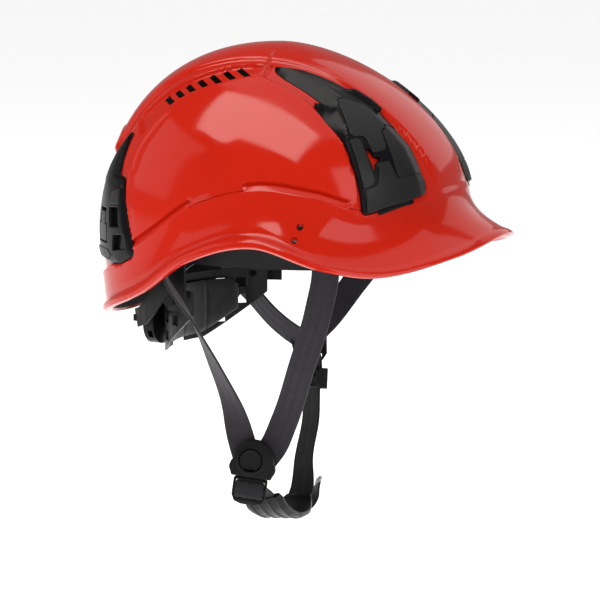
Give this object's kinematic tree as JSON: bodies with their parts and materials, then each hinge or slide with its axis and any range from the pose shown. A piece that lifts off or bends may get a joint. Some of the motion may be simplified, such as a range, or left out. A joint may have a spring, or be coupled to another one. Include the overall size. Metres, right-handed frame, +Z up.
{
  "type": "climbing helmet",
  "caption": "Hard-shell climbing helmet with brim and peak, vent slots, lamp clips, textile cradle, ratchet headband and buckled chin harness.",
  "frame": {"origin": "middle of the headband opening, at half the headband's height", "axes": "+Z up to the crown, -Y towards the peak, -X towards the wearer's right"},
  "size_m": [0.236, 0.2849, 0.3314],
  "materials": {
    "shell_red": "high gloss injection moulded ABS",
    "clip_black": "satin black nylon with a fine grain",
    "latch_grey": "satin dark grey nylon",
    "cradle_web": "woven polyester webbing",
    "strap_web": "charcoal herringbone webbing",
    "band_black": "matt black moulded strip",
    "pad_foam": "brushed fabric over foam",
    "buckle_black": "satin black acetal",
    "chin_rubber": "ribbed soft rubber",
    "tab_grey": "light grey stitched tape",
    "spring_steel": "spring steel"
  },
  "bodies": {
    "helmet": {"shell": "shell_red", "clip_front_r": "clip_black", "clip_front_l": "clip_black", "clip_rear_r": "clip_black", "clip_rear_l": "clip_black", "crown_band_a": "cradle_web", "crown_band_b": "cradle_web", "crown_band_c": "cradle_web", "cradle_hooks": "clip_black", "headband": "band_black", "sweatband": "pad_foam", "pivot_pins": "band_black", "strap_hooks": "clip_black", "strap_front_r": "strap_web", "strap_front_l": "strap_web", "strap_rear_r": "strap_web", "strap_rear_l": "strap_web", "buckle_body": "buckle_black", "button_spring": "spring_steel", "divider": "buckle_black"},
    "latch_fr": {"latch_front_r": "latch_grey"},
    "latch_fl": {"latch_front_l": "latch_grey"},
    "latch_rr": {"latch_rear_r": "latch_grey"},
    "latch_rl": {"latch_rear_l": "latch_grey"},
    "nape": {"nape_cradle": "band_black", "nape_pad": "pad_foam", "ratchet_case": "band_black", "ratchet_cover": "band_black"},
    "knob": {"ratchet_knob": "band_black"},
    "arm_r": {"rear_arm_r": "band_black"},
    "arm_l": {"rear_arm_l": "band_black"},
    "button": {"buckle_button": "buckle_black"},
    "chin": {"buckle_plug": "buckle_black", "chin_strap": "strap_web", "chin_pad": "chin_rubber", "strap_tail": "strap_web", "end_tab": "tab_grey"},
    "slider": {"ladder_slider": "buckle_black"}
  },
  "joints": [
    {"name": "front_right_latch", "type": "hinge", "parent": "helmet", "child": "latch_fr", "pos_m": [-0.05586, -0.11488, 0.03472], "axis": [0.8717, -0.4443, 0.207], "range_deg": [0, 25], "stiffness_Nm_per_rad": 0.06},
    {"name": "front_left_latch", "type": "hinge", "parent": "helmet", "child": "latch_fl", "pos_m": [0.05586, -0.11488, 0.03472], "axis": [0.8717, 0.4443, -0.207], "range_deg": [0, 25], "stiffness_Nm_per_rad": 0.06},
    {"name": "rear_right_latch", "type": "hinge", "parent": "helmet", "child": "latch_rr", "pos_m": [-0.07373, 0.1008, -0.00335], "axis": [-0.7216, -0.6923, 0], "range_deg": [0, 22], "stiffness_Nm_per_rad": 0.06},
    {"name": "rear_left_latch", "type": "hinge", "parent": "helmet", "child": "latch_rl", "pos_m": [0.07373, 0.1008, -0.00335], "axis": [-0.7216, 0.6923, 0], "range_deg": [0, 22], "stiffness_Nm_per_rad": 0.06},
    {"name": "nape_tilt", "type": "hinge", "parent": "helmet", "child": "nape", "pos_m": [0, 0.05, -0.042], "axis": [1, 0, 0], "range_deg": [-7, 7]},
    {"name": "ratchet_turn", "type": "hinge", "parent": "nape", "child": "knob", "pos_m": [0, 0.1, -0.068], "axis": [0, 1, 0], "range_deg": [0, 108.8]},
    {"name": "rack_right", "type": "slide", "parent": "nape", "child": "arm_r", "axis": [1, 0, 0], "range_m": [0, 0.0095]},
    {"name": "rack_left", "type": "slide", "parent": "nape", "child": "arm_l", "axis": [-1, 0, 0], "range_m": [0, 0.0095]},
    {"name": "buckle_press", "type": "slide", "parent": "helmet", "child": "button", "axis": [0.9418, 0.3306, -0.0601], "range_m": [0, 0.0014], "stiffness_N_per_m": 600},
    {"name": "plug_release", "type": "slide", "parent": "helmet", "child": "chin", "axis": [-0.1023, 0.1116, -0.9885], "range_m": [0, 0.012]},
    {"name": "slider_adjust", "type": "slide", "parent": "chin", "child": "slider", "axis": [-0.2158, -0.0519, -0.9751], "range_m": [-0.004, 0.002]}
  ],
  "couplings": [
    {"joint": "rack_right", "follows": "ratchet_turn", "m_per_rad": 0.005},
    {"joint": "rack_left", "follows": "ratchet_turn", "m_per_rad": 0.005}
  ]
}
